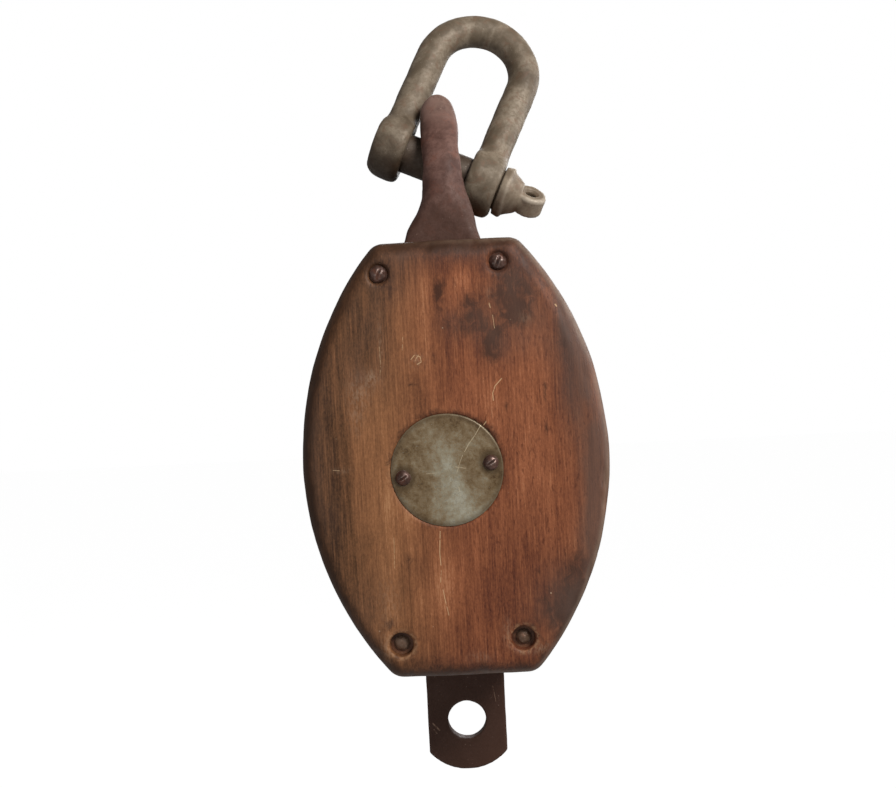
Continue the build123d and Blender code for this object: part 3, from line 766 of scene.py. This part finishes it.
def make_strap():
    low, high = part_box("strap")
    shell_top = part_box("front_cheek")[1].z
    shell_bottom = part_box("front_cheek")[0].z
    s = Sculpt("strap", "strap_forging", 0.8 * MM)
    s.relax(4)
    p = s.points
    # the bail's foot is fuller on its right flank than on its left
    lift = (p[:, 2] - shell_top) / MM
    right_flank = smooth_step(4 * MM, 14 * MM, p[:, 0]) * np.exp(-((lift - 20) / 9) ** 2)
    left_flank = smooth_step(-4 * MM, -14 * MM, p[:, 0]) * smooth_step(0, 8, lift) * smooth_step(50, 30, lift)
    p[:, 0] += 1.7 * MM * right_flank - 0.9 * MM * left_flank
    s.store()
    above = smooth_step(shell_top, shell_top + 12 * MM, p[:, 2])
    below = smooth_step(shell_bottom, shell_bottom - 4 * MM, p[:, 2])
    hammer = 0.34 * MM * rough(p, 15 * MM, 71, 2) * above
    hammer += 0.14 * MM * rough(p, 9 * MM, 73, 3) * (above + 0.8 * below)
    s.push(hammer + 0.04 * MM * rough(p, 2.6 * MM, 77, 3))
    s.note("ridge", s.ridges())
    foot = smooth_step(shell_top + 46 * MM, shell_top + 4 * MM, p[:, 2])
    s.note("dust", 0.7 * smooth_step(shell_top + 52 * MM, shell_top + 76 * MM, p[:, 2]))
    # darker towards the bail's foot with grime, and over the tang below the shell with painted shade, as the
    # tang sits back behind the cheeks
    s.note("grime_and_shade", np.maximum(0.62 * foot, smooth_step(shell_bottom + 30 * MM, shell_bottom, p[:, 2])))
    paint = old_iron("forged_iron", linear(110, 83, 75), linear(78, 56, 50), linear(156, 132, 120),
                     linear(108, 70, 58), 3, 0.45, (0.56, 0.72), 0.04, 0.2, 0.3, (68, 49, 41),
                     STRAP_SCRATCHES)
    return s.finish("block", paint)


make_strap()


# ---------------------------------------------------------------- shackle

def make_shackle():
    zinc = old_iron("galvanised", linear(130, 117, 101), linear(94, 82, 68), linear(170, 160, 145),
                    linear(108, 84, 68), 21, 0.55, (0.52, 0.7), 0.14, 0.16, 0.4, (58, 46, 37))
    swing = next(j for j in frame["record"]["behaviour"]["joints"] if j["name"] == "swing")
    axis = np.array(swing["axis"])
    centre = np.array(swing["pos_m"])
    bow = Sculpt("shackle_bow", "shackle_bow_forging", 0.62 * MM)
    p = bow.points
    along = (p - centre) @ axis
    from_pin = np.linalg.norm(p - centre - along[:, None] * axis, axis=1)
    ear = smooth_step(30 * MM, 16 * MM, from_pin)
    bow.relax(9)
    bow.round_off(130, ear)
    p = bow.points
    bow.push(0.20 * MM * rough(p, 13 * MM, 81, 2) + 0.07 * MM * rough(p, 4 * MM, 83, 3) + 0.08 * MM)
    bow.note("ridge", bow.ridges())
    # painted shade: inside the crown, on the lower side of the ears and more on the left ear; also a little
    # darker round the pin
    low_side = smooth_step(6 * MM, -14 * MM, p[:, 2] - centre[2] - along * axis[2])
    left = smooth_step(10 * MM, -20 * MM, along)
    inner = smooth_step(82 * MM, 64 * MM, from_pin) * smooth_step(46 * MM, 62 * MM, from_pin)
    shade = 0.4 * inner * smooth_step(-8 * MM, 8 * MM, along)
    ear_shade = ear * (0.04 + (0.2 + 0.3 * left) * low_side + 0.18 * left)
    bow.note("grime_and_shade", shade + ear_shade + 0.1 * smooth_step(60 * MM, 20 * MM, from_pin))
    # a rubbed place inside the crown
    crown = smooth_step(56 * MM, 62 * MM, from_pin) * np.exp(-((along + 5 * MM) / (3.5 * MM)) ** 2)
    bow.note("dust", crown * smooth_step(70 * MM, 66 * MM, from_pin))
    bow.finish("shackle", zinc)
    pin_zinc = old_iron("galvanised_pin", linear(143, 129, 112), linear(108, 94, 79), linear(180, 169, 154),
                        linear(118, 94, 78), 25, 0.45, (0.5, 0.68), 0.14, 0.14, 0.4, (56, 43, 36))
    pin = Sculpt("shackle_pin", "shackle_pin_forging", 0.5 * MM)
    pin.relax(5)
    p = pin.points
    along = (p - centre) @ axis
    pin.round_off(30, smooth_step(30 * MM, 34 * MM, along) * smooth_step(43 * MM, 38 * MM, along))
    p = pin.points
    mousing = next(m for m in frame["record"]["mounts"] if m["name"] == "mousing_hole")
    hole_axis = np.array(mousing["axis"]) / np.linalg.norm(mousing["axis"])
    to_hole = p - np.array(mousing["pos_m"])
    from_hole = np.linalg.norm(to_hole - (to_hole @ hole_axis)[:, None] * hole_axis, axis=1)
    neck = smooth_step(33 * MM, 37 * MM, along) * smooth_step(3.2 * MM, 4.2 * MM, from_hole)
    pin.push(0.10 * MM * rough(p, 7 * MM, 87, 3) + 0.06 * MM + 0.9 * MM * neck)
    pin.note("ridge", pin.ridges())
    # painted shade along the pin inwards of its neck, where it runs between the ears
    pin.note("grime_and_shade", smooth_step(33 * MM, 24 * MM, along) * 0.72)
    pin.finish("screw_pin", pin_zinc)


make_shackle()


# ---------------------------------------------------------------- plates, screws, rivets

def plate_metal(name, marks, seed):
    s = Shader(name)
    ridge = s.attribute("ridge")
    cloud = s.noise(15, 5, 0.62, 0.8, seed)
    grain = s.noise(0.9, 4, 0.75, 0.2, seed + 3)
    painted_reflection = s.attribute("painted_reflection")
    # the painted reflection band makes the plate brighter
    value = s.plus(s.plus(cloud, s.times(painted_reflection, 0.42)), s.times(s.plus(grain, -0.5), 0.95))
    value = s.plus(value, s.times(s.plus(s.noise(3.0, 4, 0.7, 0.4, seed + 8), -0.5), 0.75))
    colour = s.ramp(value, (0.25, linear(78, 60, 41)), (0.45, linear(110, 90, 65)),
                    (0.62, linear(131, 113, 88)), (0.85, linear(150, 141, 120)), (1.0, linear(166, 161, 144)))
    colour = s.mix(s.span(grain, 0.48, 0.7, 0.0, 0.5), colour, linear(72, 58, 44))
    colour = s.mix(s.span(grain, 0.42, 0.26, 0.0, 0.6), colour, linear(176, 168, 150))
    # darker at the rim and round the screws: partly dirt, partly painted shade
    colour = s.mix(s.span(s.attribute("rim_soil_and_shade"), 0.2, 1.0, 0.0, 0.7), colour, linear(74, 60, 44))
    brushed = s.noise((0.5, 2, 14), 3, 0.6, 0, seed + 6)
    height = s.plus(s.times(grain, 0.4), s.times(brushed, 0.25))
    if marks:
        broken = s.span(s.noise(1.8, 2, 0.5, 0, 5), 0.34, 0.5, 0.2, 1.0)
        cut = s.times(s.span(scratches(s, marks), 0.1, 0.8), broken)
        colour = s.mix(s.times(cut, 0.6), colour, linear(206, 190, 160))
        height = s.plus(height, s.times(cut, -0.5))
    # painted highlight along the plate's raised edges
    colour = s.mix(s.span(ridge, 0.2, 0.8, 0.0, 0.6), colour, linear(184, 172, 146))
    s.bump(height, 0.07)
    return s.surface(colour, s.span(grain, 0.3, 0.7, 0.36, 0.52), 0.3, 0.5)


PLATE_SCRATCHES = [
    ([(14.2, 20.0), (11.3, 15.5), (8.4, 11.8), (6.2, 8.2)], 0.26),
    ([(5.2, 6.6), (3.6, 2.8), (2.4, -0.8)], 0.18),
    ([(-12.0, -1.2), (-7.0, -1.0)], 0.13),
    ([(1.5, 1.5), (6.5, 0.5)], 0.13),
    ([(2.8, -8.0), (3.4, -12.0)], 0.2),
]


def make_plate(node, name, seed, marks):
    low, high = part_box(node)
    mid = (low + high) / 2
    radius = (high.x - low.x) / 2
    s = Sculpt(node, name, 0.42 * MM)
    s.relax(3)
    p = s.points
    across = np.hypot(p[:, 0] - mid.x, p[:, 2] - mid.z) / radius
    outward = -1 if mid.y < 0 else 1
    lift = 0.16 * MM * rough(p, (16 * MM, 60 * MM, 16 * MM), seed, 2)
    lift -= 0.35 * MM * smooth_step(0.82, 1.0, across) * (0.5 + 0.5 * rough(p, 12 * MM, seed + 3, 2))
    p[:, 1] += outward * lift
    s.store()
    s.note("ridge", s.ridges())
    # darker at the plate's rim and round its screws: partly dirt, partly painted shade where the plate and
    # screws meet their surroundings
    soiled_and_shaded = 0.8 * smooth_step(0.80, 1.0, across)
    for side in ("left", "right"):
        gap = away_from(p, [node.replace("cover_plate", "plate_screw_" + side)])
        soiled_and_shaded = np.maximum(soiled_and_shaded, smooth_step(8.5 * MM, 3.5 * MM, gap))
    s.note("rim_soil_and_shade", soiled_and_shaded)
    # painted reflection: a brighter band runs down the middle and widens towards the lower right
    down = (mid.z + 6 * MM - p[:, 2]) / radius
    off = np.abs(p[:, 0] - mid.x - 7 * MM * down) / ((6 + 5 * np.clip(down, 0, 1)) * MM)
    s.note("painted_reflection", np.exp(-off ** 2) * smooth_step(-0.75, 0.2, down))
    return s.finish("block", plate_metal(name + "_metal", marks, seed))


REAR_PLATE_SCRATCHES = [
    ([(-12, 9), (8, 3)], 0.2),
    ([(4, -6), (10, -15)], 0.2),
]
make_plate("front_cover_plate", "front_plate_disc", 91, PLATE_SCRATCHES)
make_plate("rear_cover_plate", "rear_plate_disc", 95, REAR_PLATE_SCRATCHES)

RUST = old_iron("fastener_iron", linear(106, 82, 74), linear(62, 44, 38), linear(188, 172, 162),
                linear(112, 70, 54), 33, 0.5, (0.3, 0.5), 0.4, 0.14)
BARE = old_iron("fastener_bare", linear(144, 122, 104), linear(98, 76, 62), linear(190, 174, 160),
                linear(116, 76, 54), 37, 0.5, (0.4, 0.6), 0.3, 0.10)


def make_fastener(node, name, voxel, seed, material):
    s = Sculpt(node, name, voxel)
    s.relax(6)
    s.push(voxel * 0.5 * rough(s.points, 2.2 * MM, seed, 3))
    s.note("ridge", s.ridges(3))
    s.note("grime_and_shade", np.full(len(s.points), 0.2))
    return s.finish("block", material)


for end in ("front", "rear"):
    for side in ("left", "right"):
        screw = f"{end}_plate_screw_{side}"
        make_fastener(screw, screw + "_worn", 0.24 * MM, len(end) + 3 * len(side), RUST)
for end in ("head", "tail"):
    for side in ("left", "right"):
        rivet = f"{end}_rivet_{side}"
        metal = RUST if end == "head" else BARE
        make_fastener(rivet, rivet + "_worn", 0.34 * MM, 5 * ord(end[0]) + len(side), metal)


# ---------------------------------------------------------------- CAD pieces that keep their shape

def paint_node(node, material):
    piece = frame["nodes"][node]
    piece.data.materials.clear()
    piece.data.materials.append(material)


def plain_metal(name, base, dark, light, seed, gloss, metallic):
    """For CAD meshes, which carry no ridge attribute."""
    s = Shader(name)
    cloud = s.noise(9, 5, 0.6, 0.5, seed)
    fine = s.noise(1.2, 5, 0.7, 0.2, seed + 4)
    colour = s.mix(s.span(cloud, 0.35, 0.65), dark, base)
    colour = s.mix(s.span(fine, 0.5, 0.72, 0.0, 0.4), colour, light)
    colour = s.mix(s.span(fine, 0.45, 0.25, 0.0, 0.5), colour, dark)
    s.bump(fine, 0.06)
    return s.surface(colour, s.span(fine, 0.3, 0.7, gloss[0], gloss[1]), metallic, 0.5)


IRON = plain_metal("sheave_iron", linear(92, 84, 78), linear(58, 48, 42), linear(120, 110, 100), 45,
                   (0.3, 0.55), 0.55)
BRONZE = plain_metal("bronze", linear(150, 116, 62), linear(96, 72, 42), linear(190, 156, 92), 51,
                     (0.28, 0.5), 0.8)
STEEL = plain_metal("pin_steel", linear(118, 114, 108), linear(70, 64, 58), linear(160, 156, 150), 57,
                    (0.25, 0.5), 0.8)
ROVE = plain_metal("rove_iron", linear(114, 78, 58), linear(78, 50, 38), linear(150, 122, 102), 63,
                   (0.45, 0.65), 0.12)
paint_node("sheave", IRON)
paint_node("sheave_bush", BRONZE)
paint_node("sheave_pin", STEEL)
for end in ("head", "tail"):
    for side in ("left", "right"):
        paint_node(f"{end}_rove_{side}", ROVE)
